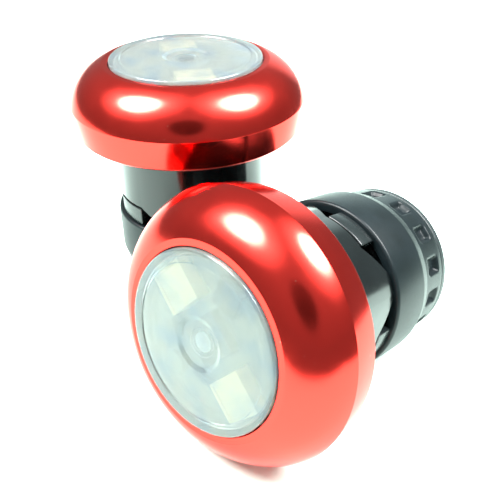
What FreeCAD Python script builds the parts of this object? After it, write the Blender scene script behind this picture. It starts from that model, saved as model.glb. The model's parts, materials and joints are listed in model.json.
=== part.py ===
"""Pair of light-up bar end plugs for a bicycle handlebar: one stands on its tail, one lies on its side.

Each plug is modelled in its own frame, in millimetres: +Z runs along the plug towards the lens, and
z = 0 is the back rim of the metal bezel, the face that stops against the end of the handlebar.
place() then moves the finished pieces to where the plug stands or lies on the ground, z = 0.
"""

import FreeCAD
import Part

import math
import os

# Bezel: an anodised aluminium ring with a band, a crowned front and a flat lip round the lens.
RIM_R = 14.15
BAND_R = 14.6
BAND_TOP = 3.7
CROWN_R = 6.6
LIP_R = 10.25
LIP_Z = 8.35
BEZEL_BORE_R = 12.0
BEZEL_WALL_Z = 6.3
BEZEL_OPENING_R = 9.5
BEZEL_RIM_ROUND = 0.3

# Lens: a push-button cap held by its flange behind the lip.
LENS_R = 9.4
LENS_EDGE_Z = 8.45
LENS_EDGE_ROUND = 0.3
LENS_MARGIN_R = 8.1
LENS_MARGIN_STEP = 0.12
LENS_BOSS_Z = 7.6
LENS_TOP_Z = 8.72
LENS_DISH_R = 2.9
LENS_DISH_DEPTH = 0.2
LENS_PIP_R = 1.3
LENS_PIP_HEIGHT = 0.15
LENS_INNER_R = 8.8
LENS_INNER_Z = 8.0
LENS_FLANGE_R = 11.0
LENS_FLANGE_LOW = 4.8
LENS_FLANGE_TOP = 5.6
LENS_BOSS_R = 1.5
SEAL_IN_R = 9.75
SEAL_OUT_R = 11.7

# Housing: threaded flange, neck with a cam edge, battery chamber and tail spindle.
FLANGE_R = 11.95
FLANGE_LOW = 0.4
FLANGE_TOP = 3.2
PLATFORM_R = 8.4
PLATFORM_TOP = 5.2
NECK_R = 9.7
SKIRT_TOP = -3.0
CHAMBER_R = 5.95
CHAMBER_FLOOR = -7.2
CORE_DISC_R = 7.0
CORE_DISC_LOW = -10.6
SPINDLE_R = 4.0
SPINDLE_END = -20.3
ORING_Z = 1.4
ORING_R = 11.35
ORING_WIRE_R = 0.5
ORING_GROOVE_R = 10.8
ORING_GROOVE_WIDTH = 1.1
STRIP_WIDTH = 2.0
STRIP_IN = 6.05
STRIP_OUT = 6.35
STRIP_FOOT_IN = 4.6
STRIP_THICKNESS = 0.25
STRIP_GROOVE_OUT = 6.5
STRIP_GROOVE_WIDTH = 2.4

# Cam: four lobes on the neck's edge, with one tooth of the cam ring in each valley.
LOBES = 4
LOBE_ANGLE = 26.0
LOBE_BASE_HALF = 29.5
LOBE_TIP_HALF = 7.0
CAM_VALLEY_Z = -8.35
CAM_PEAK_Z = -10.8
CAM_IN_R = 8.0
CAM_GAP = 0.25
TOOTH_START = 30.5
TOOTH_END = 60.0
TOOTH_STEP_Z = -10.9
RING_R = 8.85
RING_TOP = -12.05
RING_LOW = -13.4
RING_BORE_R = 5.6
RIB_R = 6.3
RIB_WIDTH = 1.6
RIB_SLOT_R = 6.45
RIB_SLOT_WIDTH = 1.75

# Rubber expander sleeve and the end cap that it is squeezed against.
SLEEVE_NEAR = -11.0
SLEEVE_LAND_R = 10.15
SLEEVE_LAND_END = -16.6
SHOULDER_Z = -17.9
SHOULDER_R = 9.8
SLEEVE_TAIL_R = 9.55
SLEEVE_END_R = 9.3
SLEEVE_END = -22.6
SLEEVE_MOUTH_R = 9.0
SLEEVE_BORE_R = 6.6
SLEEVE_EDGE_ROUND = 0.35
POCKETS = 15
POCKET_WIDTH = 2.2
POCKET_TOP = -18.9
POCKET_LOW = -21.7
POCKET_FLOOR_R = 8.85
CAP_R = 9.3
CAP_END = -23.7
CAP_EDGE_ROUND = 0.35
CAP_CORE_R = 5.5
CAP_CORE_TOP = -12.3
CAP_BORE_R = 4.1
CAP_WEB_TOP = -20.35
CAP_WEB_LOW = -21.25
CAP_RECESS_R = 4.0
CAP_WEB_HOLE_R = 1.8

# Anchor screw that holds the end cap on the spindle.
SCREW_R = 1.5
SCREW_TIP = -15.6
SCREW_HEAD_R = 2.75
SCREW_HEAD_TOP = -21.8
SCREW_HEAD_END = -23.3
HEX_ACROSS = 2.5
HEX_DEPTH = 1.0
WASHER_IN_R = 1.6
WASHER_R = 3.4
WASHER_TOP = -21.3
INSERT_R = 2.4
INSERT_BORE_R = 1.53
INSERT_TOP = -15.3
INSERT_HOLE_R = 2.43
TIP_HOLE_R = 1.7
TIP_HOLE_TOP = -14.6

# Electronics: board, two square LEDs, a push switch, a driver chip and two button cells.
BOARD_R = 8.5
BOARD_TOP = 6.0
LED_ANGLE = 139.0
LED_OFFSET = 6.0
LED_SIDE = 4.4
LED_TOP = 7.7
LED_WINDOW_SIDE = 3.8
LED_WINDOW_DEPTH = 0.15
SWITCH_SIDE = 4.4
SWITCH_CASE_TOP = 7.2
PLUNGER_R = 1.0
PLUNGER_TOP = 7.6
PLUNGER_LOW = 6.9
SWITCH_WELL_R = 1.1
SWITCH_WELL_LOW = 6.4
BOARD_SCREW_OFFSET = 6.95
BOARD_SCREW_R = 0.8
BOARD_SCREW_HOLE_R = 0.83
BOARD_SCREW_HEAD_R = 1.35
BOARD_SCREW_HEAD_TOP = 6.8
BOARD_SCREW_TIP = 2.4
CHIP_SIDE = 3.0
CHIP_TOP = 6.8
CHIP_OFFSET = 5.2
CHIP_ANGLE = 75.0
RESISTOR = (1.6, 0.8, 0.5)
RESISTOR_OFFSET = 5.0
RESISTOR_ANGLES = (180.0, 197.0, 257.0, 274.0)
CONTACT_R = 3.5
CONTACT_LOW = 4.8
CELL_R = 5.8
CELL_HEIGHT = 5.4
CELL_CAP_R = 4.7
CELL_CAP_HEIGHT = 0.5
SPRING_R = 4.4
SPRING_IN_R = 1.6
SPRING_THICKNESS = 0.25

# Where the two plugs are: the lying one rests on its bezel rim and on the edge of its end cap.
STANDING_X = -8.15
STANDING_Y = 13.28
STANDING_TURN = -35.0
LYING_X = 0.3
LYING_Y = -14.09
LYING_YAW = -42.6
CONTACT_Z = CAP_END + CAP_EDGE_ROUND
LYING_TILT = math.degrees(math.atan((RIM_R - CAP_R) / (BEZEL_RIM_ROUND - CONTACT_Z)))

UP = FreeCAD.Vector(0, 0, 1)
ORIGIN = FreeCAD.Vector(0, 0, 0)
BIG = 30.0


def disc(radius, low, high):
    """A solid cylinder about the plug's axis, from z = low to z = high."""
    return Part.makeCylinder(radius, high - low, FreeCAD.Vector(0, 0, low), UP)


def ring(inner, outer, low, high):
    """A tube about the plug's axis."""
    return disc(outer, low, high).cut(disc(inner, low, high))


def turned(points):
    """Revolves a closed outline of (radius, z) points about the plug's axis.

    A point given as (radius, z, bulge) ends an arc that bulges by that much to the left of its chord.
    """
    vectors = [FreeCAD.Vector(p[0], 0, p[1]) for p in points]
    edges = []
    for i, point in enumerate(points):
        start = vectors[i - 1]
        end = vectors[i]
        if len(point) == 2:
            edges.append(Part.LineSegment(start, end).toShape())
            continue
        chord = end.sub(start)
        left = FreeCAD.Vector(-chord.z, 0, chord.x).normalize()
        middle = start.add(end).multiply(0.5).add(left.multiply(point[2]))
        edges.append(Part.Arc(start, middle, end).toShape())
    face = Part.Face(Part.Wire(edges))
    return face.revolve(ORIGIN, UP, 360)


def spun(shape, angle):
    """A copy of the shape turned about the plug's axis, in degrees."""
    copy = shape.copy()
    copy.rotate(ORIGIN, UP, angle)
    return copy


def block(size_x, size_y, low, high, offset=0.0, angle=0.0):
    """A box centred at that offset from the axis, in the direction of that angle."""
    corner = FreeCAD.Vector(offset - size_x / 2, -size_y / 2, low)
    return spun(Part.makeBox(size_x, size_y, high - low, corner), angle)


def peg(radius, low, high, offset, angle):
    """A cylinder parallel to the axis, at that offset and angle."""
    return spun(Part.makeCylinder(radius, high - low, FreeCAD.Vector(offset, 0, low), UP), angle)


def sagitta(start, end, radius):
    """How far an arc of that radius bulges from the chord between two (radius, z) points."""
    half = math.dist(start, end) / 2
    return radius - math.sqrt(radius * radius - half * half)


def bezel():
    """The metal ring: band, crowned front and lip, hollow behind for the flange and the lens."""
    bulge = sagitta((BAND_R, BAND_TOP), (LIP_R, LIP_Z), CROWN_R)
    lip_inner = BEZEL_OPENING_R + 0.15
    return turned([
        (BEZEL_BORE_R, 0),
        (RIM_R - BEZEL_RIM_ROUND, 0),
        (RIM_R, BEZEL_RIM_ROUND),
        (BAND_R, BAND_TOP),
        (LIP_R, LIP_Z, -bulge),
        (lip_inner, LIP_Z + 0.05),
        (BEZEL_OPENING_R, LIP_Z - 0.1),
        (BEZEL_OPENING_R, BEZEL_WALL_Z),
        (BEZEL_BORE_R, BEZEL_WALL_Z),
    ])


def lens():
    """The clear cap: domed front with a moulded dish and pip, side wall, flange and centre boss."""
    rim_z = LENS_EDGE_Z + LENS_EDGE_ROUND
    edge_bulge = LENS_EDGE_ROUND * (1 - math.sqrt(0.5))
    dish_z = LENS_TOP_Z - LENS_DISH_DEPTH
    pip_z = dish_z + LENS_PIP_HEIGHT
    pip_sphere_r = (LENS_PIP_R ** 2 + LENS_PIP_HEIGHT ** 2) / (2 * LENS_PIP_HEIGHT)
    pip_bulge = sagitta((LENS_PIP_R, dish_z), (0, pip_z), pip_sphere_r)
    return turned([
        (0, LENS_BOSS_Z),
        (LENS_BOSS_R, LENS_BOSS_Z),
        (LENS_BOSS_R, LENS_INNER_Z),
        (LENS_INNER_R, LENS_INNER_Z),
        (LENS_INNER_R, LENS_FLANGE_LOW),
        (LENS_FLANGE_R, LENS_FLANGE_LOW),
        (LENS_FLANGE_R, LENS_FLANGE_TOP),
        (LENS_R, LENS_FLANGE_TOP),
        (LENS_R, LENS_EDGE_Z),
        (LENS_R - LENS_EDGE_ROUND, rim_z, -edge_bulge),
        (LENS_MARGIN_R, rim_z),
        (LENS_MARGIN_R - LENS_MARGIN_STEP, rim_z - LENS_MARGIN_STEP),
        (LENS_DISH_R, LENS_TOP_Z, -0.03),
        (LENS_DISH_R - 0.5, dish_z),
        (LENS_PIP_R, dish_z),
        (0, pip_z, -pip_bulge),
    ])


def lens_seal():
    """The silicone ring between the lens flange and the bezel's front wall."""
    return ring(SEAL_IN_R, SEAL_OUT_R, LENS_FLANGE_TOP, BEZEL_WALL_Z)


def housing_turned():
    """The housing's round body, before the cam lobes and the pockets."""
    groove_low = ORING_Z - ORING_GROOVE_WIDTH / 2
    groove_high = ORING_Z + ORING_GROOVE_WIDTH / 2
    return turned([
        (0, CHAMBER_FLOOR),
        (0, CORE_DISC_LOW + 0.5),
        (SPINDLE_R - 0.5, CORE_DISC_LOW + 0.5),
        (SPINDLE_R - 0.5, CORE_DISC_LOW),
        (CORE_DISC_R, CORE_DISC_LOW),
        (CORE_DISC_R, SKIRT_TOP),
        (CAM_IN_R, SKIRT_TOP),
        (CAM_IN_R, CAM_VALLEY_Z),
        (NECK_R, CAM_VALLEY_Z),
        (NECK_R, FLANGE_LOW),
        (FLANGE_R, FLANGE_LOW),
        (FLANGE_R, groove_low),
        (ORING_GROOVE_R, groove_low),
        (ORING_GROOVE_R, groove_high),
        (FLANGE_R, groove_high),
        (FLANGE_R, FLANGE_TOP),
        (PLATFORM_R, FLANGE_TOP),
        (PLATFORM_R, PLATFORM_TOP),
        (CHAMBER_R, PLATFORM_TOP),
        (CHAMBER_R, CHAMBER_FLOOR),
    ])


def lobe(drop=0.0):
    """One cam lobe: a trapezium across the tangent, cut to the neck's wall, moved down by drop."""
    base = NECK_R * math.sin(math.radians(LOBE_BASE_HALF))
    tip = NECK_R * math.sin(math.radians(LOBE_TIP_HALF))
    shoulder = CAM_VALLEY_Z + 0.4
    outline = [(-base, shoulder), (-base, CAM_VALLEY_Z), (-tip, CAM_PEAK_Z),
               (tip, CAM_PEAK_Z), (base, CAM_VALLEY_Z), (base, shoulder)]
    points = [FreeCAD.Vector(0, y, z - drop) for y, z in outline]
    points.append(points[0])
    prism = Part.Face(Part.makePolygon(points)).extrude(FreeCAD.Vector(BIG, 0, 0))
    return prism


def cam_lobes():
    """The neck's four lobes as one shape."""
    wall = ring(CAM_IN_R, NECK_R, CAM_PEAK_Z - 1, CAM_VALLEY_Z + 0.4)
    first = spun(lobe().common(wall), LOBE_ANGLE)
    others = [spun(first, i * 360.0 / LOBES) for i in range(1, LOBES)]
    return first.multiFuse(others)


def spindle():
    """The post behind the neck that the end cap turns on, bored for the insert and the screw."""
    post = disc(SPINDLE_R, SPINDLE_END, CORE_DISC_LOW + 0.5)
    post = post.cut(disc(INSERT_HOLE_R, SPINDLE_END, INSERT_TOP))
    return post.cut(disc(TIP_HOLE_R, INSERT_TOP, TIP_HOLE_TOP))


def strip_groove():
    """The groove in the chamber wall for the negative strip."""
    width = STRIP_GROOVE_OUT - CHAMBER_R + 0.2
    centre = STRIP_GROOVE_OUT - width / 2
    return block(width, STRIP_GROOVE_WIDTH, CHAMBER_FLOOR, PLATFORM_TOP, centre)


def board_screw_places():
    """Angles of the two board screws, square to the line of the LEDs."""
    return (LED_ANGLE - 90.0, LED_ANGLE + 90.0)


def housing():
    """The black plastic housing with its flange, neck, cam edge, chamber and spindle."""
    body = housing_turned().fuse(spindle()).fuse(cam_lobes())
    body = body.cut(strip_groove())
    for angle in board_screw_places():
        hole = peg(BOARD_SCREW_HOLE_R, BOARD_SCREW_TIP - 0.3, PLATFORM_TOP, BOARD_SCREW_OFFSET, angle)
        body = body.cut(hole)
    return body.removeSplitter()


def flange_oring():
    """The O-ring in the flange's groove, which seals the bezel."""
    return Part.makeTorus(ORING_R, ORING_WIRE_R, FreeCAD.Vector(0, 0, ORING_Z), UP)


def tooth():
    """One tooth of the cam ring: thin inside the sleeve's mouth, and as wide as the neck in front of it."""
    high = CAM_VALLEY_Z - CAM_GAP
    sector = Part.makeCylinder(NECK_R, high - RING_TOP, FreeCAD.Vector(0, 0, RING_TOP), UP,
                               TOOTH_END - TOOTH_START)
    sector = sector.cut(disc(CAM_IN_R, RING_TOP, high)).cut(ring(RING_R, BIG, RING_TOP, TOOTH_STEP_Z))
    sector = spun(sector, TOOTH_START)
    return sector.cut(spun(lobe(CAM_GAP), 360.0 / LOBES)).cut(lobe(CAM_GAP))


def cam_ring():
    """The ring that the lobes push along the end cap's core, with its teeth and key slots."""
    first = spun(tooth(), LOBE_ANGLE)
    teeth = [spun(first, i * 360.0 / LOBES) for i in range(LOBES)]
    body = ring(RING_BORE_R, RING_R, RING_LOW, RING_TOP).multiFuse(teeth)
    slot = block(2 * RIB_SLOT_R, RIB_SLOT_WIDTH, RING_LOW, RING_TOP)
    return body.cut(slot.common(disc(RIB_SLOT_R, RING_LOW, RING_TOP))).removeSplitter()


def expander_sleeve():
    """The rubber sleeve: a gripping land, a shoulder and a tail section with shallow pockets."""
    edge = SLEEVE_EDGE_ROUND
    body = turned([
        (SLEEVE_MOUTH_R, SLEEVE_NEAR),
        (SLEEVE_MOUTH_R, RING_LOW),
        (SLEEVE_BORE_R, RING_LOW),
        (SLEEVE_BORE_R, SLEEVE_END),
        (SLEEVE_END_R, SLEEVE_END),
        (SLEEVE_TAIL_R, SHOULDER_Z - 0.4),
        (SHOULDER_R, SHOULDER_Z),
        (SLEEVE_LAND_R, SLEEVE_LAND_END),
        (SLEEVE_LAND_R, SLEEVE_NEAR - edge),
        (SLEEVE_LAND_R - edge, SLEEVE_NEAR),
    ])
    depth = SLEEVE_LAND_R - POCKET_FLOOR_R
    centre = POCKET_FLOOR_R + depth / 2
    for i in range(POCKETS):
        angle = i * 360.0 / POCKETS
        body = body.cut(block(depth, POCKET_WIDTH, POCKET_LOW, POCKET_TOP, centre, angle))
    return body


def end_cap():
    """The tail cap: outer disc, keyed core that carries the sleeve and the web that the screw holds."""
    edge = CAP_EDGE_ROUND
    body = turned([
        (CAP_BORE_R, CAP_CORE_TOP),
        (CAP_BORE_R, CAP_WEB_TOP),
        (CAP_WEB_HOLE_R, CAP_WEB_TOP),
        (CAP_WEB_HOLE_R, CAP_WEB_LOW),
        (CAP_RECESS_R, CAP_WEB_LOW),
        (CAP_RECESS_R, CAP_END),
        (CAP_R - edge, CAP_END),
        (CAP_R, CAP_END + edge),
        (CAP_R, SLEEVE_END),
        (CAP_CORE_R, SLEEVE_END),
        (CAP_CORE_R, CAP_CORE_TOP),
    ])
    ribs = block(2 * RIB_R, RIB_WIDTH, SLEEVE_END, CAP_CORE_TOP)
    return body.fuse(ribs.cut(disc(CAP_CORE_R - 0.5, SLEEVE_END, CAP_CORE_TOP))).removeSplitter()


def anchor_screw():
    """The screw through the end cap's web, with a hexagon socket in its head."""
    body = disc(SCREW_R, SCREW_HEAD_TOP, SCREW_TIP).fuse(disc(SCREW_HEAD_R, SCREW_HEAD_END, SCREW_HEAD_TOP))
    across_corners = HEX_ACROSS / math.cos(math.radians(30))
    corners = [FreeCAD.Vector(across_corners / 2 * math.cos(math.radians(60 * i)),
                              across_corners / 2 * math.sin(math.radians(60 * i)),
                              SCREW_HEAD_END) for i in range(7)]
    socket = Part.Face(Part.makePolygon(corners)).extrude(FreeCAD.Vector(0, 0, HEX_DEPTH))
    return body.cut(socket)


def screw_washer():
    """The washer between the screw's head and the end cap's web."""
    return ring(WASHER_IN_R, WASHER_R, SCREW_HEAD_TOP, WASHER_TOP)


def threaded_insert():
    """The brass insert in the spindle."""
    return ring(INSERT_BORE_R, INSERT_R, SPINDLE_END, INSERT_TOP)


def circuit_board():
    """The round board, with clearance holes for its two screws."""
    board = disc(BOARD_R, PLATFORM_TOP, BOARD_TOP)
    for angle in board_screw_places():
        board = board.cut(peg(BOARD_SCREW_HOLE_R, PLATFORM_TOP, BOARD_TOP, BOARD_SCREW_OFFSET, angle))
    return board


def led(angle):
    """One square LED with its recessed window."""
    body = block(LED_SIDE, LED_SIDE, BOARD_TOP, LED_TOP, LED_OFFSET, angle)
    window = block(LED_WINDOW_SIDE, LED_WINDOW_SIDE, LED_TOP - LED_WINDOW_DEPTH, LED_TOP, LED_OFFSET, angle)
    return body.cut(window)


def led_upper():
    """The LED on the first side of the switch."""
    return led(LED_ANGLE)


def led_lower():
    """The LED on the other side of the switch."""
    return led(LED_ANGLE + 180.0)


def switch_case():
    """The square case of the push switch, with the well that its plunger moves in."""
    case = block(SWITCH_SIDE, SWITCH_SIDE, BOARD_TOP, SWITCH_CASE_TOP, 0, LED_ANGLE)
    return case.cut(disc(SWITCH_WELL_R, SWITCH_WELL_LOW, SWITCH_CASE_TOP))


def switch_plunger():
    """The switch's plunger, touched by the lens's centre boss."""
    return disc(PLUNGER_R, PLUNGER_LOW, PLUNGER_TOP)


def driver_chip():
    """The chip that drives the LEDs."""
    return block(CHIP_SIDE, CHIP_SIDE, BOARD_TOP, CHIP_TOP, CHIP_OFFSET, CHIP_ANGLE)


def chip_resistors():
    """The board's small resistors, as separate solids."""
    length, width, height = RESISTOR
    chips = [block(width, length, BOARD_TOP, BOARD_TOP + height, RESISTOR_OFFSET, angle)
             for angle in RESISTOR_ANGLES]
    return Part.makeCompound(chips)


def board_screws():
    """The two screws that hold the board on the housing, as separate solids."""
    screws = []
    for angle in board_screw_places():
        shank = peg(BOARD_SCREW_R, BOARD_SCREW_TIP, BOARD_TOP, BOARD_SCREW_OFFSET, angle)
        head = peg(BOARD_SCREW_HEAD_R, BOARD_TOP, BOARD_SCREW_HEAD_TOP, BOARD_SCREW_OFFSET, angle)
        screws.append(shank.fuse(head))
    return Part.makeCompound(screws)


def contact_plate():
    """The positive contact under the board, which the front cell presses on."""
    return disc(CONTACT_R, CONTACT_LOW, PLATFORM_TOP)


def button_cell(top):
    """One button cell whose can faces the lens, with its narrower cap below."""
    low = top - CELL_HEIGHT
    can = disc(CELL_R, low + CELL_CAP_HEIGHT, top)
    return can.fuse(disc(CELL_CAP_R, low, low + CELL_CAP_HEIGHT))


def front_cell():
    """The cell next to the board."""
    return button_cell(CONTACT_LOW)


def rear_cell():
    """The cell next to the spring."""
    return button_cell(CONTACT_LOW - CELL_HEIGHT)


def cell_spring():
    """The dished contact spring on the chamber's floor."""
    top = CONTACT_LOW - 2 * CELL_HEIGHT
    return turned([
        (SPRING_R, CHAMBER_FLOOR),
        (SPRING_R, CHAMBER_FLOOR + SPRING_THICKNESS),
        (SPRING_IN_R, top),
        (SPRING_IN_R, top - SPRING_THICKNESS),
    ])


def negative_strip():
    """The strip that brings the spring's contact up the chamber wall to the board."""
    thick = STRIP_OUT - STRIP_IN
    riser = block(thick, STRIP_WIDTH, CHAMBER_FLOOR, PLATFORM_TOP, STRIP_IN + thick / 2)
    foot_length = STRIP_OUT - STRIP_FOOT_IN
    foot = block(foot_length, STRIP_WIDTH, CHAMBER_FLOOR, CHAMBER_FLOOR + STRIP_THICKNESS,
                 STRIP_FOOT_IN + foot_length / 2)
    return riser.fuse(foot)


PIECES = (
    bezel, lens, lens_seal, housing, flange_oring, cam_ring, expander_sleeve, end_cap,
    anchor_screw, screw_washer, threaded_insert, circuit_board, led_upper, led_lower,
    switch_case, switch_plunger, driver_chip, chip_resistors, board_screws, contact_plate,
    front_cell, rear_cell, cell_spring, negative_strip,
)


def standing_placement():
    """The plug on its tail: axis upright, end cap on the ground."""
    turn = FreeCAD.Rotation(UP, STANDING_TURN)
    return FreeCAD.Placement(FreeCAD.Vector(STANDING_X, STANDING_Y, -CAP_END), turn)


def lying_placement():
    """The plug on its side: lens tipped up by LYING_TILT and turned by LYING_YAW."""
    lay = FreeCAD.Rotation(FreeCAD.Vector(1, 0, 0), 90.0 - LYING_TILT)
    yaw = FreeCAD.Rotation(UP, LYING_YAW)
    tilt = math.radians(LYING_TILT)
    height = RIM_R * math.cos(tilt) - BEZEL_RIM_ROUND * math.sin(tilt)
    return FreeCAD.Placement(FreeCAD.Vector(LYING_X, LYING_Y, height), yaw.multiply(lay))


def main():
    """Builds every piece of both plugs and writes one STEP file each."""
    os.makedirs("parts", exist_ok=True)
    units = {"standing": standing_placement(), "lying": lying_placement()}
    for make in PIECES:
        shape = make()
        for unit, placement in units.items():
            copy = shape.copy()
            copy.transformShape(placement.toMatrix(), True)
            copy.exportStep(f"parts/{unit}_{make.__name__}.step")


main()
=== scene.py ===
"""Looks for a pair of light-up handlebar end plugs: one stands on its tail, one lies in front of it."""
import json
import logging
import math
from dataclasses import dataclass
from enum import Enum

import bmesh
import bpy
from mathutils import Matrix, Vector


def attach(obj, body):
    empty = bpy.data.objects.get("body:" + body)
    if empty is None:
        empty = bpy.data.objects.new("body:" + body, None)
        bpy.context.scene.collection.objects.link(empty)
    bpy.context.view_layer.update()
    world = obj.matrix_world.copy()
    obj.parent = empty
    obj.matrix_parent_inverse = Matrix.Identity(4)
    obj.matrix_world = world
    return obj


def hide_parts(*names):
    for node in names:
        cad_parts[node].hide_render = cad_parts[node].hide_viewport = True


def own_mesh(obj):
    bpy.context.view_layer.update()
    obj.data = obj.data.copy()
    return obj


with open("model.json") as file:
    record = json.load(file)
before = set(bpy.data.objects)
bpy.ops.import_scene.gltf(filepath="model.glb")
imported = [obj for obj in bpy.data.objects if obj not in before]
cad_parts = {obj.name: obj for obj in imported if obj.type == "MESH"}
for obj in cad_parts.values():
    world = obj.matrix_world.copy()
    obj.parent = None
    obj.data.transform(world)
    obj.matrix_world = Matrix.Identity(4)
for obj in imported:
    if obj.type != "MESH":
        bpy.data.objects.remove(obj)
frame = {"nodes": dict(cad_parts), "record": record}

logging.basicConfig(level=logging.INFO, format="%(levelname)s %(message)s")
log = logging.getLogger("bar_end_plugs")

MM = 0.001
LOCAL = "plug_mm"
LOBE_PITCH = 90.0
Colour = tuple[float, float, float, float]


class Unit(Enum):
    """The two plugs of the pair."""

    STANDING = "standing"
    LYING = "lying"


# ---------------------------------------------------------------- colour and node helpers


def linear(colour: str) -> Colour:
    """Turns an sRGB hex colour to linear RGBA.

    Args:
        colour: Six hex digits, such as "E73430".

    Returns:
        The linear red, green and blue, and an alpha of 1.
    """
    channels = [int(colour[i:i + 2], 16) / 255 for i in (0, 2, 4)]
    r, g, b = (c / 12.92 if c <= 0.04045 else ((c + 0.055) / 1.055) ** 2.4 for c in channels)
    return (r, g, b, 1.0)


def add_node(tree: bpy.types.NodeTree, kind: str, inputs: dict | None = None,
             **settings: object) -> bpy.types.Node:
    """Adds a node with its settings, input values and links.

    Args:
        tree: The node tree that the node goes in.
        kind: The node's type name, without "ShaderNode".
        inputs: Input name or number to a value, or to the output socket that feeds it.
        **settings: The node's own properties.

    Returns:
        The new node.
    """
    node = tree.nodes.new("ShaderNode" + kind)
    for key, value in settings.items():
        setattr(node, key, value)
    for key, value in (inputs or {}).items():
        socket = node.inputs[key]
        if isinstance(value, bpy.types.NodeSocket):
            tree.links.new(value, socket)
        else:
            socket.default_value = value
    return node


def new_material(name: str) -> tuple[bpy.types.Material, bpy.types.NodeTree, bpy.types.Node]:
    """Makes an empty node material.

    Args:
        name: The material's name.

    Returns:
        The material, its tree and its output node.
    """
    material = bpy.data.materials.new(name)
    material.use_nodes = True
    tree = material.node_tree
    tree.nodes.clear()
    output = tree.nodes.new("ShaderNodeOutputMaterial")
    return material, tree, output


def place_vector(tree: bpy.types.NodeTree, on_new_piece: bool) -> bpy.types.NodeSocket:
    """Gives the place on a piece, in millimetres.

    Args:
        tree: The material's tree.
        on_new_piece: True on a piece made here, which stores its place in the plug's frame.

    Returns:
        A vector socket.
    """
    if on_new_piece:
        return add_node(tree, "Attribute", attribute_name=LOCAL).outputs["Vector"]
    place = add_node(tree, "TexCoord").outputs["Object"]
    return add_node(tree, "VectorMath", {0: place, "Scale": 1 / MM}, operation="SCALE").outputs[0]


def bump(tree: bpy.types.NodeTree, height: bpy.types.NodeSocket, depth_mm: float) -> bpy.types.NodeSocket:
    """Turns a 0 to 1 height into a bumped normal, for relief of that depth."""
    return add_node(tree, "Bump", {"Height": height, "Distance": depth_mm * MM, "Strength": 1.0}).outputs[0]


def blended(tree: bpy.types.NodeTree, share: bpy.types.NodeSocket, first: Colour | bpy.types.NodeSocket,
            second: Colour | bpy.types.NodeSocket) -> bpy.types.NodeSocket:
    """Mixes two colours, each a value or a socket."""
    return add_node(tree, "Mix", {"Factor": share, 6: first, 7: second}, data_type="RGBA").outputs[2]


def mapped(tree: bpy.types.NodeTree, value: bpy.types.NodeSocket, low: float, high: float,
           from_low: float = 0.0, from_high: float = 1.0) -> bpy.types.NodeSocket:
    """Maps a value from one range to another, clamped."""
    inputs = {"Value": value, "From Min": from_low, "From Max": from_high, "To Min": low, "To Max": high}
    return add_node(tree, "MapRange", inputs).outputs[0]


# ---------------------------------------------------------------- finishes


@dataclass(frozen=True)
class AnodisedAluminium:
    """Turned 6061 aluminium, bright-dipped and dyed red.

    The eye gets a clear metal sheen under a deep red, fine lathe lines, a slight grain and a few pale specks
    of dust. The edge colour keeps the dye's tint where the metal is seen at a shallow angle.
    """

    name: str = "red_anodised"
    colour: str = "E23831"
    edge_colour: str = "FFDCDA"
    roughness: float = 0.16
    lathe_pitch_mm: float = 0.12
    grain_mm: float = 0.10
    speck_mm: float = 1.6
    speck_colour: str = "F6B8A8"
    cloud_mm: float = 2.857
    relief_mm: float = 0.0011
    grain_share: float = 0.5
    grain_lightness: float = 1.12

    def make(self) -> bpy.types.Material:
        """Builds the material.

        Returns:
            The material.
        """
        material, tree, output = new_material(self.name)
        place = place_vector(tree, True)
        lines = self.lathe_lines(tree, place)
        grains = add_node(tree, "TexNoise", {"Vector": place, "Scale": 1 / self.grain_mm, "Detail": 2.0})
        grain = grains.outputs[0]
        dull_grain = mapped(tree, grain, 0.0, self.grain_share)
        relief = add_node(tree, "Math", {0: lines, 1: dull_grain}, operation="ADD").outputs[0]
        cloud = add_node(tree, "TexNoise", {"Vector": place, "Scale": 1 / self.cloud_mm, "Detail": 3.0})
        rough = mapped(tree, cloud.outputs[0], self.roughness * 0.85, self.roughness * 1.25, 0.3, 0.7)
        deep = linear(self.colour)
        pale = tuple(min(1.0, c * self.grain_lightness) for c in deep[:3]) + (1.0,)
        tint = blended(tree, grain, deep, pale)
        specks = add_node(tree, "TexVoronoi", {"Vector": place, "Scale": 1 / self.speck_mm})
        dust = mapped(tree, specks.outputs["Distance"], 1.0, 0.0, 0.012, 0.03)
        dusty = blended(tree, dust, tint, linear(self.speck_colour))
        shader = add_node(tree, "BsdfPrincipled", {
            "Base Color": dusty, "Metallic": 1.0, "Roughness": rough,
            "Specular Tint": linear(self.edge_colour), "Normal": bump(tree, relief, self.relief_mm)})
        tree.links.new(shader.outputs[0], output.inputs[0])
        return material

    def lathe_lines(self, tree: bpy.types.NodeTree, place: bpy.types.NodeSocket) -> bpy.types.NodeSocket:
        """Draws the rings about the plug's axis that the turning tool leaves, a little coarse, to show.

        Args:
            tree: The material's tree.
            place: The place in the plug's frame, in millimetres.

        Returns:
            The rings' height, from 0 to 1.
        """
        parts = add_node(tree, "SeparateXYZ", {0: place})
        flat = add_node(tree, "CombineXYZ", {0: parts.outputs[0], 1: parts.outputs[1]})
        radius = add_node(tree, "VectorMath", {0: flat.outputs[0]}, operation="LENGTH").outputs["Value"]
        angle = add_node(tree, "Math", {0: parts.outputs[1], 1: parts.outputs[0]}, operation="ARCTAN2")
        slow = add_node(tree, "Math", {0: angle.outputs[0], 1: 0.35}, operation="MULTIPLY").outputs[0]
        ring = add_node(tree, "CombineXYZ", {0: radius, 1: parts.outputs[2], 2: slow}).outputs[0]
        settings = {"Vector": ring, "Scale": 1 / self.lathe_pitch_mm, "Detail": 2.0, "Roughness": 0.6}
        return add_node(tree, "TexNoise", settings).outputs[0]


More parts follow.
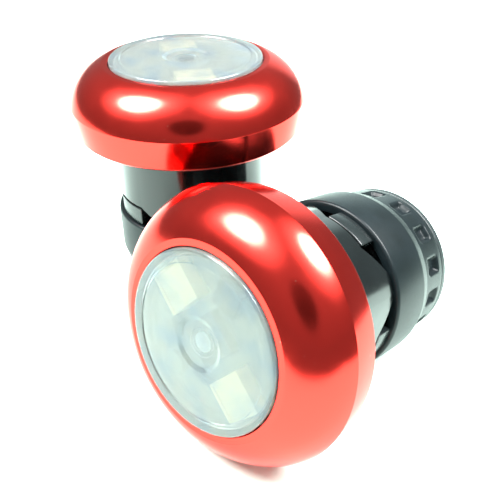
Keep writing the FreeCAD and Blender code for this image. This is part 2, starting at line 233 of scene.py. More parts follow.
@dataclass(frozen=True)
class MilkyPolycarbonate:
    """Injection-moulded polycarbonate, polished outside and frosted inside.

    The eye gets a wet gloss over a milky, faintly blue depth in which the LEDs show as pale squares.
    """

    name: str = "lens_milky"
    clear: str = "C1C5BF"
    cloudy: str = "A9B6BF"
    roughness: float = 0.2
    transmission: float = 0.84
    ior: float = 1.33
    coat: float = 0.35
    coat_roughness: float = 0.04
    cloud_mm: float = 2.6
    frost_mm: float = 0.8333
    frost_depth_mm: float = 0.003

    def make(self) -> bpy.types.Material:
        """Builds the material.

        The lens is drawn less dense than solid polycarbonate, because its frost scatters what is inside it.

        Returns:
            The material.
        """
        material, tree, output = new_material(self.name)
        place = place_vector(tree, True)
        cloud = add_node(tree, "TexNoise", {"Vector": place, "Scale": 1 / self.cloud_mm, "Detail": 4.0})
        share = mapped(tree, cloud.outputs[0], 0.0, 1.0, 0.45, 0.68)
        tint = blended(tree, share, linear(self.clear), linear(self.cloudy))
        frost = add_node(tree, "TexNoise", {"Vector": place, "Scale": 1 / self.frost_mm, "Detail": 2.0})
        rough = mapped(tree, frost.outputs[0], self.roughness * 0.85, self.roughness * 1.25, 0.3, 0.7)
        shader = add_node(tree, "BsdfPrincipled", {
            "Base Color": tint, "Roughness": rough, "IOR": self.ior,
            "Transmission Weight": self.transmission, "Coat Weight": self.coat,
            "Coat Roughness": self.coat_roughness,
            "Normal": bump(tree, frost.outputs[0], self.frost_depth_mm)})
        tree.links.new(shader.outputs[0], output.inputs[0])
        return material


@dataclass(frozen=True)
class Moulded:
    """A moulded plastic or rubber: one dyed colour, with the tool's fine texture and a slight bloom."""

    name: str
    colour: str
    bloom: str
    roughness: float
    grain_mm: float
    relief_mm: float
    specular: float = 0.5
    on_new_piece: bool = True
    cloud_mm: float = 2.5

    def make(self) -> bpy.types.Material:
        """Builds the material.

        Returns:
            The material.
        """
        material, tree, output = new_material(self.name)
        place = place_vector(tree, self.on_new_piece)
        grain = add_node(tree, "TexNoise", {"Vector": place, "Scale": 1 / self.grain_mm, "Detail": 3.0})
        cloud = add_node(tree, "TexNoise", {"Vector": place, "Scale": 1 / self.cloud_mm, "Detail": 4.0})
        share = mapped(tree, cloud.outputs[0], 0.0, 1.0, 0.35, 0.7)
        tint = blended(tree, share, linear(self.colour), linear(self.bloom))
        rough = mapped(tree, grain.outputs[0], self.roughness * 0.85, self.roughness * 1.15, 0.3, 0.7)
        shader = add_node(tree, "BsdfPrincipled", {
            "Base Color": tint, "Roughness": rough, "Specular IOR Level": self.specular,
            "Normal": bump(tree, grain.outputs[0], self.relief_mm)})
        tree.links.new(shader.outputs[0], output.inputs[0])
        return material


@dataclass(frozen=True)
class BareMetal:
    """Plated or turned metal without dye: a grey or yellow sheen with fine scratches along one way."""

    name: str
    colour: str
    roughness: float
    scratch_mm: float = 0.15
    scratch_stretch: float = 0.08
    relief_mm: float = 0.002

    def make(self) -> bpy.types.Material:
        """Builds the material.

        Returns:
            The material.
        """
        material, tree, output = new_material(self.name)
        place = place_vector(tree, False)
        drawn = add_node(tree, "Mapping", {"Vector": place, "Scale": (1.0, 1.0, self.scratch_stretch)})
        scratches = add_node(tree, "TexNoise", {
            "Vector": drawn.outputs[0], "Scale": 1 / self.scratch_mm, "Detail": 3.0})
        rough = mapped(tree, scratches.outputs[0], self.roughness * 0.7, self.roughness * 1.4, 0.3, 0.7)
        shader = add_node(tree, "BsdfPrincipled", {
            "Base Color": linear(self.colour), "Metallic": 1.0, "Roughness": rough,
            "Normal": bump(tree, scratches.outputs[0], self.relief_mm)})
        tree.links.new(shader.outputs[0], output.inputs[0])
        return material


# ---------------------------------------------------------------- shape helpers


@dataclass(frozen=True)
class Corner:
    """A corner of an outline, in millimetres.

    round is the corner's fillet radius. bulge is how far the stretch that ends here bows to the left of
    its chord, and it is straight where bulge is 0.
    """

    radius: float
    height: float
    round: float = 0.0
    bulge: float = 0.0


ARC_STEPS = 22
ROUND_STEPS = 4
TOOTH_STEPS = 24


def bowed(start: Vector, end: Vector, bulge: float) -> list[Vector]:
    """Finds the points of an arc between two points.

    Args:
        start: The arc's start, which isn't among the points.
        end: The arc's end.
        bulge: How far the arc bows to the left of its chord, or to the right where it is negative.

    Returns:
        ARC_STEPS points, up to the end.
    """
    chord = end - start
    half = chord.length / 2
    radius = (half * half + bulge * bulge) / (2 * bulge)
    left = Vector((-chord.y, chord.x)).normalized()
    centre = (start + end) / 2 + left * (bulge - radius)
    sweep = 2 * math.asin(max(-1.0, min(1.0, half / radius)))
    arm = start - centre
    points = []
    for i in range(1, ARC_STEPS + 1):
        turn = Matrix.Rotation(-sweep * i / ARC_STEPS, 2)
        points.append(centre + turn @ arm)
    return points


def rounded(before: Vector, corner: Vector, after: Vector, radius: float) -> list[Vector]:
    """Finds the points of the fillet that replaces a corner.

    Args:
        before: The point before the corner.
        corner: The corner.
        after: The point after it.
        radius: The fillet's radius.

    Returns:
        The fillet's points in order.
    """
    back = (before - corner).normalized()
    ahead = (after - corner).normalized()
    half_angle = back.angle(ahead) / 2
    reach = radius / math.tan(half_angle)
    centre = corner + (back + ahead).normalized() * (radius / math.sin(half_angle))
    start = corner + back * reach - centre
    end = corner + ahead * reach - centre
    return [centre + start.slerp(end, i / ROUND_STEPS) * radius for i in range(ROUND_STEPS + 1)]


def outline_points(corners: list[Corner], closed: bool) -> list[Vector]:
    """Expands corners with arcs and fillets to a chain of points.

    Args:
        corners: The outline's corners in order.
        closed: True if the last corner joins the first.

    Returns:
        The points in the (radius, height) plane, in millimetres.
    """
    chain: list[tuple[Vector, float]] = []
    for i, corner in enumerate(corners):
        here = Vector((corner.radius, corner.height))
        previous = corners[i - 1]
        if corner.bulge and (closed or i):
            start = Vector((previous.radius, previous.height))
            chain += [(point, 0.0) for point in bowed(start, here, corner.bulge)[:-1]]
        chain.append((here, corner.round))
    points = []
    for i, (here, radius) in enumerate(chain):
        if radius:
            points += rounded(chain[i - 1][0], here, chain[(i + 1) % len(chain)][0], radius)
        else:
            points.append(here)
    return points


def lathe(corners: list[Corner], closed: bool = True, steps: int = 240) -> bmesh.types.BMesh:
    """Turns an outline about the plug's axis.

    Args:
        corners: The outline's corners.
        closed: True for a ring, and False for an outline that starts and ends on the axis.
        steps: The number of faces round the axis.

    Returns:
        A closed bmesh in millimetres.
    """
    shape = bmesh.new()
    verts = [shape.verts.new((p.x, 0, p.y)) for p in outline_points(corners, closed)]
    pairs = list(zip(verts, verts[1:] + verts[:1])) if closed else list(zip(verts, verts[1:]))
    edges = [shape.edges.new(pair) for pair in pairs]
    bmesh.ops.spin(shape, geom=verts + edges, cent=(0, 0, 0), axis=(0, 0, 1), angle=math.tau,
                   steps=steps, use_merge=True)
    bmesh.ops.remove_doubles(shape, verts=shape.verts, dist=1e-5)
    bmesh.ops.recalc_face_normals(shape, faces=shape.faces)
    return shape


def add_rows(shape: bmesh.types.BMesh, low: float, high: float, gap: float) -> None:
    """Cuts extra rows of faces across the axis.

    Args:
        shape: The shape to cut, in millimetres.
        low: The height of the first cut.
        high: The height that the cuts stay under.
        gap: The height of a row.
    """
    rows = int((high - low) / gap)
    for i in range(rows + 1):
        everything = shape.verts[:] + shape.edges[:] + shape.faces[:]
        bmesh.ops.bisect_plane(shape, geom=everything, plane_co=(0, 0, low + i * gap), plane_no=(0, 0, 1))


def soften(value: float) -> float:
    """A smooth step from 0 to 1."""
    t = max(0.0, min(1.0, value))
    return t * t * (3 - 2 * t)


# ---------------------------------------------------------------- the plug's own frame


@dataclass(frozen=True)
class PlugFrame:
    """Where one plug is: its origin is the middle of the bezel's back rim, and +Z is towards the lens."""

    unit: Unit
    origin: Vector
    across: Vector
    axis: Vector

    HINGE_HEIGHT = 3.0 * MM

    @classmethod
    def of(cls, unit: Unit) -> "PlugFrame":
        """Reads a plug's frame from the bezel's hinge and the stop face's mount.

        Args:
            unit: Which plug.

        Returns:
            Its frame.
        """
        record = frame["record"]
        hinge = next(j for j in record["behaviour"]["joints"] if j["name"] == f"{unit.value}_bezel_turn")
        stop = next(m for m in record["mounts"] if m["name"] == f"{unit.value}_bar_stop")
        axis = Vector(hinge["axis"]).normalized()
        origin = Vector(hinge["pos_m"]) - axis * cls.HINGE_HEIGHT
        across = (Vector(stop["pos_m"]) - origin).normalized()
        return cls(unit, origin, across, axis)

    @property
    def matrix(self) -> Matrix:
        """Works out the way from the plug's frame in millimetres to the pair's frame in metres.

        Returns:
            The matrix.
        """
        side = self.axis.cross(self.across)
        turn = Matrix((self.across, side, self.axis)).transposed().to_4x4()
        return Matrix.Translation(self.origin) @ turn @ Matrix.Scale(MM, 4)

    def node(self, piece: str) -> str:
        """The CAD node of a piece of this plug."""
        return f"{self.unit.value}_{piece}"

    def point(self, x: float, y: float, z: float) -> Vector:
        """A point of the plug's frame, in the pair's frame."""
        return self.matrix @ Vector((x, y, z))


SHARP = math.radians(38)
TOUCH = 0.05


def finish_piece(shape: bmesh.types.BMesh, plug: PlugFrame, piece: str, group: str,
                 material: bpy.types.Material, crease: float = SHARP) -> bpy.types.Object:
    """Turns a bmesh in the plug's frame into a piece that replaces its CAD node.

    Args:
        shape: The piece in millimetres, in the plug's frame. It is freed.
        plug: The plug that it belongs to.
        piece: The piece's name, which is also the CAD node's.
        group: The CAD body that it rides on.
        material: Its finish.
        crease: The angle in radians above which an edge is drawn sharp.

    Returns:
        The new object.
    """
    for face in shape.faces:
        face.smooth = True
    for edge in shape.edges:
        edge.smooth = len(edge.link_faces) == 2 and edge.calc_face_angle(0.0) < crease
    layer = shape.verts.layers.float_vector.new(LOCAL)
    for vert in shape.verts:
        vert[layer] = vert.co
    shape.transform(plug.matrix)
    name = plug.node(piece) + "_skin"
    mesh = bpy.data.meshes.new(name)
    shape.to_mesh(mesh)
    shape.free()
    mesh.materials.append(material)
    made = bpy.data.objects.new(name, mesh)
    bpy.context.scene.collection.objects.link(made)
    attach(made, plug.node(group))
    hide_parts(plug.node(piece))
    log.info("%s: %d faces", name, len(mesh.polygons))
    return made


# ---------------------------------------------------------------- the plug's pieces


@dataclass
class Head:
    """The front of the plug: the metal bezel and the lens behind its lip."""

    rim_r: float = 14.15
    rim_edge: float = 0.3
    band_r: float = 14.6
    band_top: float = 3.7
    crown_bulge: float = 0.84
    lip_r: float = 10.25
    lip_z: float = 8.35
    opening_r: float = 9.5
    bore_r: float = 12.0
    wall_z: float = 6.3
    lens_r: float = 9.4
    lens_rim_z: float = 8.75
    lens_margin_r: float = 8.1
    lens_step: float = 0.12
    lens_top_z: float = 8.72
    dish_r: float = 2.9
    dish_depth: float = 0.2
    pip_r: float = 1.3
    pip_height: float = 0.15
    inner_r: float = 8.8
    inner_z: float = 8.0
    boss_r: float = 1.5
    boss_z: float = 7.6
    flange_r: float = 11.0
    flange_low: float = 4.8
    flange_top: float = 5.58

    def bezel(self) -> bmesh.types.BMesh:
        """Makes the ring: a band that widens forwards, a crisp edge, the crown and the flat lip.

        Returns:
            The bezel.
        """
        return lathe([
            Corner(self.bore_r, 0, 0.12),
            Corner(self.rim_r - self.rim_edge, 0, 0.1),
            Corner(self.rim_r, self.rim_edge, 0.1),
            Corner(self.band_r, self.band_top, 0.12),
            Corner(self.lip_r, self.lip_z, 0.05, -self.crown_bulge),
            Corner(self.opening_r, self.lip_z + 0.04, 0.1),
            Corner(self.opening_r, self.wall_z),
            Corner(self.bore_r, self.wall_z, 0.2),
        ], steps=288)

    def lens(self) -> bmesh.types.BMesh:
        """Makes the cap: raised margin, shallow dome with a dish and a pip, wall, flange and boss.

        Returns:
            The lens.
        """
        dish_z = self.lens_top_z - self.dish_depth
        inner = self.lens_margin_r - self.lens_step
        return lathe([
            Corner(0, self.boss_z),
            Corner(self.boss_r, self.boss_z, 0.1),
            Corner(self.boss_r, self.inner_z, 0.15),
            Corner(self.inner_r, self.inner_z, 0.3),
            Corner(self.inner_r, self.flange_low),
            Corner(self.flange_r, self.flange_low, 0.1),
            Corner(self.flange_r, self.flange_top, 0.1),
            Corner(self.lens_r, self.flange_top, 0.15),
            Corner(self.lens_r, self.lens_rim_z, 0.3),
            Corner(self.lens_margin_r, self.lens_rim_z, 0.05),
            Corner(inner, self.lens_rim_z - self.lens_step, 0.05),
            Corner(self.dish_r, self.lens_top_z, 0.12, -0.03),
            Corner(self.dish_r - 0.5, dish_z, 0.12),
            Corner(self.pip_r, dish_z, 0.08),
            Corner(0, dish_z + self.pip_height, 0, -0.035),
        ], closed=False, steps=240)


@dataclass
class Cam:
    """The four lobes on the neck's edge and the teeth that stand between them."""

    wall_r: float = 9.7
    inner_r: float = 8.0
    valley_z: float = -8.35
    peak_z: float = -10.8
    base_half: float = 29.5
    tip_half: float = 7.0
    first: float = 26.0
    gap: float = 0.25
    tooth_start: float = 30.5
    tooth_end: float = 60.0
    step_z: float = -10.9
    ring_top: float = -12.05
    edge_height: float = 0.2

    def lobe_z(self, radius: float, turn: float) -> float:
        """Finds the height of a lobe's edge.

        Args:
            radius: The distance from the plug's axis.
            turn: The angle from the lobe's middle, in degrees.

        Returns:
            The height in the plug's frame.
        """
        base = self.wall_r * math.sin(math.radians(self.base_half))
        tip = self.wall_r * math.sin(math.radians(self.tip_half))
        aside = abs(radius * math.sin(math.radians(turn)))
        share = (base - aside) / (base - tip)
        return self.valley_z + (self.peak_z - self.valley_z) * max(0.0, min(1.0, share))

    def neck_edge(self, place: Vector) -> float:
        """Finds the height of the neck's edge.

        Args:
            place: A place whose radius and angle count.

        Returns:
            The height in the plug's frame.
        """
        angle = math.degrees(math.atan2(place.y, place.x))
        turn = (angle - self.first + LOBE_PITCH / 2) % LOBE_PITCH - LOBE_PITCH / 2
        return self.lobe_z(math.hypot(place.x, place.y), turn)


@dataclass
class Body:
    """The black housing and the cam ring behind it."""

    cam: Cam
    flange_r: float = 11.95
    flange_low: float = 0.4
    flange_top: float = 3.2
    platform_r: float = 8.4
    platform_top: float = 5.2
    chamber_r: float = 5.95
    chamber_floor: float = -7.2
    groove_low: float = 0.85
    groove_high: float = 1.95
    groove_r: float = 10.8
    disc_r: float = 7.0
    disc_low: float = -10.6
    spindle_r: float = 4.0
    spindle_end: float = -20.3
    insert_r: float = 2.43
    insert_top: float = -15.3
    skirt_top: float = -3.0
    ring_r: float = 8.85
    ring_low: float = -13.4
    ring_bore_r: float = 5.6
    foot_depth: float = 0.1
    tooth_round: float = 0.14

    def housing(self) -> bmesh.types.BMesh:
        """Makes the housing, with the neck's cam edge drawn down from a plain tube.

        Returns:
            The housing.
        """
        cam = self.cam
        shape = lathe([
            Corner(0, self.chamber_floor),
            Corner(self.chamber_r, self.chamber_floor),
            Corner(self.chamber_r, self.platform_top, 0.1),
            Corner(self.platform_r, self.platform_top, 0.15),
            Corner(self.platform_r, self.flange_top, 0.15),
            Corner(self.flange_r, self.flange_top, 0.25),
            Corner(self.flange_r, self.groove_high, 0.08),
            Corner(self.groove_r, self.groove_high),
            Corner(self.groove_r, self.groove_low),
            Corner(self.flange_r, self.groove_low, 0.08),
            Corner(self.flange_r, self.flange_low, 0.2),
            Corner(cam.wall_r, self.flange_low, 0.35),
            Corner(cam.wall_r, cam.valley_z, 0.16),
            Corner(cam.inner_r, cam.valley_z, 0.12),
            Corner(cam.inner_r, self.skirt_top),
            Corner(self.disc_r, self.skirt_top),
            Corner(self.disc_r, self.disc_low, 0.2),
            Corner(self.spindle_r, self.disc_low, 0.3),
            Corner(self.spindle_r, self.spindle_end, 0.2),
            Corner(self.insert_r, self.spindle_end),
            Corner(self.insert_r, self.insert_top),
            Corner(0, self.insert_top),
        ], closed=False, steps=300)
        for vert in shape.verts:
            radius = math.hypot(vert.co.x, vert.co.y)
            if radius > cam.inner_r - TOUCH and vert.co.z < cam.valley_z + cam.edge_height:
                vert.co.z += cam.neck_edge(vert.co) - cam.valley_z
        return shape

    def cam_ring(self) -> bmesh.types.BMesh:
        """Makes the cam ring: a plain ring in the sleeve's mouth, with a tooth up into each valley.

        Returns:
            The cam ring.
        """
        shape = lathe([
            Corner(self.ring_bore_r, self.ring_low, 0.1),
            Corner(self.ring_r, self.ring_low, 0.2),
            Corner(self.ring_r, self.cam.ring_top, 0.12),
            Corner(self.ring_bore_r, self.cam.ring_top, 0.12),
        ])
        for i in range(round(360 / LOBE_PITCH)):
            self.add_tooth(shape, self.cam.first + self.cam.tooth_start + i * LOBE_PITCH)
        bmesh.ops.recalc_face_normals(shape, faces=shape.faces)
        return shape

    def add_tooth(self, shape: bmesh.types.BMesh, start: float) -> None:
        """Adds a tooth, whose foot is in the ring and which widens past the sleeve.

        Args:
            shape: The ring.
            start: The angle of the tooth's first side, in degrees.
        """
        cam = self.cam
        foot = cam.ring_top - self.foot_depth
        tip = cam.valley_z - cam.gap
        corners = [(cam.inner_r, foot), (self.ring_r, foot), (self.ring_r, cam.step_z),
                   (cam.wall_r, cam.step_z), (cam.wall_r, tip), (cam.inner_r, tip)]
        turn = Matrix.Rotation(math.radians(start), 3, "Z")
        verts = [shape.verts.new(turn @ Vector((radius, 0, height))) for radius, height in corners]
        profile = shape.faces.new(verts)
        sweep = math.radians(cam.tooth_end - cam.tooth_start)
        before = set(shape.faces) - {profile}
        bmesh.ops.spin(shape, geom=[profile], cent=(0, 0, 0), axis=(0, 0, 1), angle=sweep,
                       steps=TOOTH_STEPS)
        faces = [face for face in shape.faces if face not in before]
        bmesh.ops.recalc_face_normals(shape, faces=faces)
        rims = {e for face in faces for e in face.edges if e.calc_face_angle(0.0) > math.radians(30)}
        bmesh.ops.bevel(shape, geom=list(rims), offset=self.tooth_round, offset_type="OFFSET", segments=3,
                        profile=0.5, affect="EDGES", material=-1, clamp_overlap=True)


@dataclass
class Tail:
    """The rubber sleeve, the end cap behind it and the screw in the middle."""

    near_z: float = -11.0
    land_r: float = 10.15
    land_end: float = -16.6
    shoulder_z: float = -17.9
    shoulder_r: float = 9.8
    tail_r: float = 9.55
    end_r: float = 9.3
    end_z: float = -22.6
    mouth_r: float = 9.0
    mouth_floor: float = -13.4
    bore_r: float = 6.6
    pockets: int = 15
    pocket_width: float = 2.2
    pocket_top: float = -18.9
    pocket_low: float = -21.7
    pocket_depth: float = 0.6
    pocket_corner: float = 0.5
    pocket_slope: float = 0.55
    rows_past: float = 0.2
    row_gap: float = 0.13
    skin: float = 0.4
    cap_r: float = 9.3
    cap_end: float = -23.7
    cap_edge: float = 0.35
    core_r: float = 5.5
    core_top: float = -12.3
    cap_bore_r: float = 4.1
    web_top: float = -20.35
    web_low: float = -21.25
    web_hole_r: float = 1.8
    recess_r: float = 4.0

    def sleeve(self) -> bmesh.types.BMesh:
        """Makes the sleeve: a gripping land, a fall to the shoulder bead, and pockets in its tail section.

        Returns:
            The sleeve.
        """
        shape = lathe([
            Corner(self.mouth_r, self.near_z, 0.1),
            Corner(self.mouth_r, self.mouth_floor),
            Corner(self.bore_r, self.mouth_floor),
            Corner(self.bore_r, self.end_z),
            Corner(self.end_r, self.end_z, 0.2),
            Corner(self.tail_r, self.shoulder_z - 0.4, 0.25),
            Corner(self.shoulder_r, self.shoulder_z, 0.25),
            Corner(self.land_r, self.land_end, 1.2),
            Corner(self.land_r, self.near_z, 0.35),
        ], steps=360)
        add_rows(shape, self.pocket_low - self.rows_past, self.pocket_top + self.rows_past, self.row_gap)
        for vert in shape.verts:
            self.press_pocket(vert)
        return shape

    def press_pocket(self, vert: bmesh.types.BMVert) -> None:
        """Moves a vertex of the sleeve's outside inwards where it lies in a pocket.

        Args:
            vert: Any vertex of the sleeve.
        """
        radius = math.hypot(vert.co.x, vert.co.y)
        if radius < self.end_r - self.skin or not self.pocket_low < vert.co.z < self.pocket_top:
            return
        pitch = 360.0 / self.pockets
        angle = math.degrees(math.atan2(vert.co.y, vert.co.x))
        aside = math.radians(abs((angle + pitch / 2) % pitch - pitch / 2)) * radius
        middle = (self.pocket_low + self.pocket_top) / 2
        half_height = (self.pocket_top - self.pocket_low) / 2
        over = Vector((aside - self.pocket_width / 2 + self.pocket_corner,
                       abs(vert.co.z - middle) - half_height + self.pocket_corner))
        outside = Vector((max(over.x, 0.0), max(over.y, 0.0))).length - self.pocket_corner
        depth = self.pocket_depth * soften(-(outside + min(max(over.x, over.y), 0.0)) / self.pocket_slope)
        scale = (radius - depth) / radius
        vert.co.x *= scale
        vert.co.y *= scale

    def end_cap(self) -> bmesh.types.BMesh:
        """Makes the end cap: a disc with the screw's recess, on a core that carries the sleeve.

        Returns:
            The end cap.
        """
        return lathe([
            Corner(self.cap_bore_r, self.core_top, 0.2),
            Corner(self.cap_bore_r, self.web_top),
            Corner(self.web_hole_r, self.web_top),
            Corner(self.web_hole_r, self.web_low),
            Corner(self.recess_r, self.web_low),
            Corner(self.recess_r, self.cap_end, 0.25),
            Corner(self.cap_r - self.cap_edge, self.cap_end, 0.12),
            Corner(self.cap_r, self.cap_end + self.cap_edge, 0.12),
            Corner(self.cap_r, self.end_z, 0.12),
            Corner(self.core_r, self.end_z),
            Corner(self.core_r, self.core_top, 0.2),
        ], steps=240)


# ---------------------------------------------------------------- the assembly


@dataclass(frozen=True)
class Finishes:
    """Every finish of the pair, made once."""

    red: bpy.types.Material
    lens: bpy.types.Material
    housing: bpy.types.Material
    cam: bpy.types.Material
    rubber: bpy.types.Material
    cap: bpy.types.Material
    inner: dict[str, bpy.types.Material]

    @classmethod
    def make(cls) -> "Finishes":
        """Builds the materials.

        Returns:
            The finishes.
        """
        # Bare metal: bright plate on the loose screws, a duller one on the board's, mirror-like cell cans.
        steel = BareMetal("zinc_plated_steel", "B9BBBC", 0.28).make()
        dull = BareMetal("dull_zinc_steel", "6B7476", 0.5).make()
        nickel = BareMetal("nickel_plated_strip", "C9C4B8", 0.25).make()
        cell = BareMetal("drawn_cell_can", "CDCDCB", 0.2).make()
        brass = BareMetal("turned_brass", "C8A25A", 0.25).make()
        # Small moulded parts: matt rubber, a satin board, waxy LED phosphor, dull epoxy and natural nylon.
        silicone = Moulded("grey_silicone", "8C8F90", "9A9D9E", 0.6, 0.2, 0.004, 0.5, False).make()
        nitrile = Moulded("black_oring", "0B0B0C", "151516", 0.5, 0.2, 0.003, 0.5, False).make()
        mask = Moulded("grey_solder_mask", "5C6B72", "52626B", 0.35, 0.3, 0.002, 0.5, False).make()
        phosphor = Moulded("led_phosphor", "FFDDA6", "FFE4B8", 0.35, 0.25, 0.004, 0.5, False).make()
        black = Moulded("moulded_epoxy", "17181A", "202224", 0.5, 0.1, 0.004, 0.5, False).make()
        white = Moulded("natural_nylon", "A7ABAA", "9EA2A1", 0.45, 0.15, 0.003, 0.5, False).make()
        # The plug's black parts: a polished neck that mirrors its surroundings, satin teeth, rubber with a
        # soft broad sheen, and an end cap whose spark-eroded tool leaves it evenly dull.
        return cls(
            red=AnodisedAluminium().make(),
            lens=MilkyPolycarbonate().make(),
            housing=Moulded("gloss_black_abs", "07090A", "0B0E0F", 0.14, 0.9, 0.004, 0.42).make(),
            cam=Moulded("satin_black_nylon", "101415", "171C1D", 0.24, 0.15, 0.003, 0.5).make(),
            rubber=Moulded("black_nitrile_rubber", "0B1214", "12191C", 0.36, 0.12, 0.004, 0.23).make(),
            cap=Moulded("spark_textured_nylon", "171E20", "212829", 0.42, 0.08, 0.006, 0.6).make(),
            inner={
                "lens_seal": silicone, "flange_oring": nitrile, "anchor_screw": steel, "screw_washer": steel,
                "threaded_insert": brass, "circuit_board": mask, "led_upper": phosphor,
                "led_lower": phosphor, "switch_case": black, "switch_plunger": white,
                "driver_chip": black, "chip_resistors": black, "board_screws": dull,
                "contact_plate": nickel, "front_cell": cell, "rear_cell": cell, "cell_spring": nickel,
                "negative_strip": nickel,
            },
        )


@dataclass
class BarEndPlug:
    """One whole plug."""

    plug: PlugFrame
    finishes: Finishes

    def build(self) -> None:
        """Makes the visible pieces and dresses the rest."""
        head = Head()
        cam = Cam()
        body = Body(cam)
        tail = Tail()
        plug = self.plug
        use = self.finishes
        finish_piece(head.bezel(), plug, "bezel", "bezel_group", use.red)
        finish_piece(head.lens(), plug, "lens", "lens_group", use.lens)
        finish_piece(body.housing(), plug, "housing", "housing_group", use.housing)
        finish_piece(body.cam_ring(), plug, "cam_ring", "cam_group", use.cam)
        finish_piece(tail.end_cap(), plug, "end_cap", "tail_group", use.cap)
        sleeve = finish_piece(tail.sleeve(), plug, "expander_sleeve", "tail_group",
                              use.rubber, math.pi)
        self.squash_sleeve(sleeve, tail)
        for piece, material in use.inner.items():
            self.dress(piece, material)

    def squash_sleeve(self, sleeve: bpy.types.Object, tail: Tail) -> None:
        """Gives the sleeve its own copy of its mesh; it doesn't shorten against the end cap as the tail is
        twisted.

        Args:
            sleeve: The sleeve's object.
            tail: The sizes that it was made to.
        """
        joint = self.plug.node("cam_slide")
        anchor = self.plug.point(0, 0, tail.end_z)
        self.plug.node("tail_twist")
        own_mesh(sleeve)

    def dress(self, piece: str, material: bpy.types.Material) -> None:
        """Puts a finish on a CAD node that stays as it is.

        Args:
            piece: The piece's name.
            material: Its finish.
        """
        node = frame["nodes"][self.plug.node(piece)]
        node.data.materials.clear()
        node.data.materials.append(material)
        log.info("%s: dressed in %s", node.name, material.name)


# ---------------------------------------------------------------- the studio


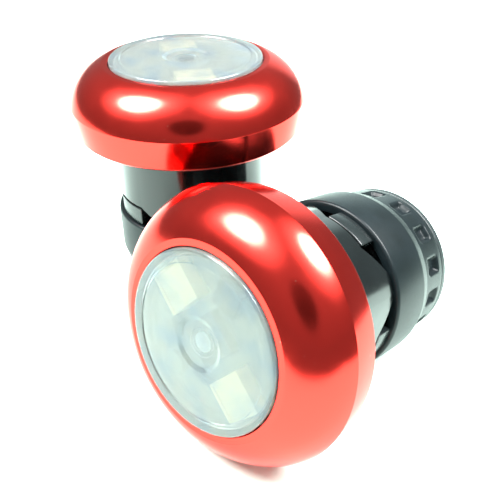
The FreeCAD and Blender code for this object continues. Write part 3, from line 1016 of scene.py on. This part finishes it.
@dataclass
class Studio:
    """A white table in a grey room, with two round soft lamps, a pale card behind and the camera."""

    aim_mm: tuple[float, float, float] = (-0.5, 13.3, 3.8)
    distance_mm: float = 98.8
    elevation: float = 33.7
    roll: float = -0.4
    focal_mm: float = 49.0
    sheet_half: float = 0.5
    sheet_front: float = -0.105
    sheet_right: float = 0.09
    lamp_distance: float = 0.6
    lamp_half_angle: float = 15.0
    lamp_radiance: float = 42.0
    glow: float = 3.2
    glow_half_angle: float = 36.0
    room_colour: str = "E6FFFD"
    wall_light: float = 0.46
    ceiling_light: float = 0.8
    backdrop_light: float = 1.3
    dark_azimuth: float = 178.0
    dark_share: float = 0.24
    dark_half_angle: float = 19.0
    card_place: tuple[float, float] = (14.0, 7.0)
    card_half_angle: float = 21.0
    card_light: float = 1.5
    lamp_places: tuple[tuple[float, float], ...] = ((-95.0, 59.0), (92.0, 57.0))

    def build(self) -> None:
        """Makes the floor, the lamps, the room and the camera."""
        self.floor()
        for i, (azimuth, elevation) in enumerate(self.lamp_places):
            self.lamp(f"lamp_{i}", self.direction(azimuth, elevation))
        self.room()
        self.camera()

    @staticmethod
    def direction(azimuth: float, elevation: float) -> Vector:
        """Works out a direction.

        Args:
            azimuth: The angle from +Y towards +X, in degrees.
            elevation: The angle above the table, in degrees.

        Returns:
            A vector of length 1.
        """
        a = math.radians(azimuth)
        e = math.radians(elevation)
        return Vector((math.sin(a) * math.cos(e), math.cos(a) * math.cos(e), math.sin(e)))

    def floor(self) -> None:
        """Lays the white paper, which ends a hand's breadth in front of the plugs and to their right."""
        shape = bmesh.new()
        bmesh.ops.create_grid(shape, x_segments=1, y_segments=1, size=self.sheet_half)
        middle = (self.sheet_right - self.sheet_half, self.sheet_half + self.sheet_front, 0)
        bmesh.ops.translate(shape, verts=shape.verts, vec=middle)
        mesh = bpy.data.meshes.new("table")
        shape.to_mesh(mesh)
        shape.free()
        table = bpy.data.objects.new("table", mesh)
        bpy.context.scene.collection.objects.link(table)
        material, tree, output = new_material("white_paper")
        place = add_node(tree, "TexCoord").outputs["Object"]
        fibre = add_node(tree, "TexNoise", {"Vector": place, "Scale": 900.0, "Detail": 3.0})
        tint = blended(tree, fibre.outputs[0], linear("D9EDE3"), linear("DEF1E8"))
        shader = add_node(tree, "BsdfPrincipled", {"Base Color": tint, "Roughness": 0.6})
        tree.links.new(shader.outputs[0], output.inputs[0])
        mesh.materials.append(material)

    def lamp(self, name: str, toward: Vector) -> None:
        """Hangs a round soft lamp of one brightness, seen from the plugs under a set angle.

        Args:
            name: The lamp's name.
            toward: The direction from the plugs to the lamp.
        """
        radius = self.lamp_distance * math.tan(math.radians(self.lamp_half_angle))
        data = bpy.data.lights.new(name, "AREA")
        data.shape = "DISK"
        data.size = 2 * radius
        data.energy = self.lamp_radiance * math.pi * math.pi * radius * radius
        lamp = bpy.data.objects.new(name, data)
        lamp.location = toward * self.lamp_distance
        lamp.rotation_mode = "QUATERNION"
        lamp.rotation_quaternion = toward.to_track_quat("Z", "Y")
        bpy.context.scene.collection.objects.link(lamp)

    def room(self) -> None:
        """Lights the room: grey walls, a glow round each lamp, a pale card and a dark patch at the camera.

        The camera itself sees plain white, as of a paper backdrop.
        """
        world = bpy.data.worlds.new("room")
        bpy.context.scene.world = world
        world.use_nodes = True
        tree = world.node_tree
        tree.nodes.clear()
        direction = add_node(tree, "TexCoord").outputs["Generated"]
        height = add_node(tree, "SeparateXYZ", {0: direction}).outputs[2]
        light = mapped(tree, height, self.wall_light, self.ceiling_light, 0.1, 0.85)
        for azimuth, elevation in self.lamp_places:
            lamp = self.direction(azimuth, elevation)
            near = self.nearness(tree, direction, lamp, self.glow_half_angle)
            glow = add_node(tree, "Math", {0: near, 1: self.glow}, operation="MULTIPLY").outputs[0]
            light = add_node(tree, "Math", {0: light, 1: glow}, operation="ADD").outputs[0]
        card = self.nearness(tree, direction, self.direction(*self.card_place), self.card_half_angle)
        shine = add_node(tree, "Math", {0: card, 1: self.card_light}, operation="MULTIPLY").outputs[0]
        light = add_node(tree, "Math", {0: light, 1: shine}, operation="ADD").outputs[0]
        dark_side = self.direction(self.dark_azimuth, self.elevation)
        behind = self.nearness(tree, direction, dark_side, self.dark_half_angle)
        shade = mapped(tree, behind, 1.0, self.dark_share, 0.0, 0.55)
        light = add_node(tree, "Math", {0: light, 1: shade}, operation="MULTIPLY").outputs[0]
        seen = add_node(tree, "LightPath").outputs["Is Camera Ray"]
        strength = add_node(tree, "Mix", {0: seen, 2: light, 3: self.backdrop_light}, data_type="FLOAT")
        background = add_node(tree, "Background", {
            "Color": linear(self.room_colour), "Strength": strength.outputs[0]})
        output = add_node(tree, "OutputWorld")
        tree.links.new(background.outputs[0], output.inputs[0])

    def nearness(self, tree: bpy.types.NodeTree, direction: bpy.types.NodeSocket, toward: Vector,
                 half_angle: float) -> bpy.types.NodeSocket:
        """Draws a soft spot on the sky.

        Args:
            tree: The world's tree.
            direction: The direction that is looked in.
            toward: The spot's middle.
            half_angle: The spot's half angle in degrees.

        Returns:
            1 in the spot's middle, falling to 0 at its rim.
        """
        dot = add_node(tree, "VectorMath", {0: direction, 1: toward}, operation="DOT_PRODUCT")
        rim = math.cos(math.radians(half_angle))
        inputs = {"Value": dot.outputs["Value"], "From Min": rim, "From Max": 1.0}
        return add_node(tree, "MapRange", inputs, interpolation_type="SMOOTHSTEP").outputs[0]

    def camera(self) -> None:
        """Sets up the camera, which looks down over the lying plug at the standing one."""
        e = math.radians(self.elevation)
        r = math.radians(self.roll)
        forward = Vector((0, math.cos(e), -math.sin(e)))
        up = Vector((0, math.sin(e), math.cos(e)))
        right = Vector((1, 0, 0))
        rolled_right = right * math.cos(r) + up * math.sin(r)
        rolled_up = up * math.cos(r) - right * math.sin(r)
        turn = Matrix((rolled_right, rolled_up, -forward)).transposed().to_4x4()
        place = Vector(self.aim_mm) * MM - forward * self.distance_mm * MM
        data = bpy.data.cameras.new("camera")
        data.lens = self.focal_mm
        data.clip_start = 0.005
        data.clip_end = 10
        camera = bpy.data.objects.new("camera", data)
        camera.matrix_world = Matrix.Translation(place) @ turn
        bpy.context.scene.collection.objects.link(camera)
        bpy.context.scene.camera = camera


def main() -> None:
    """Builds the studio and both plugs."""
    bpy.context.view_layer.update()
    scene = bpy.context.scene
    scene.view_settings.view_transform = "Standard"
    scene.view_settings.look = "None"
    Studio().build()
    finishes = Finishes.make()
    for unit in Unit:
        BarEndPlug(PlugFrame.of(unit), finishes).build()


if __name__ == "__main__":
    main()
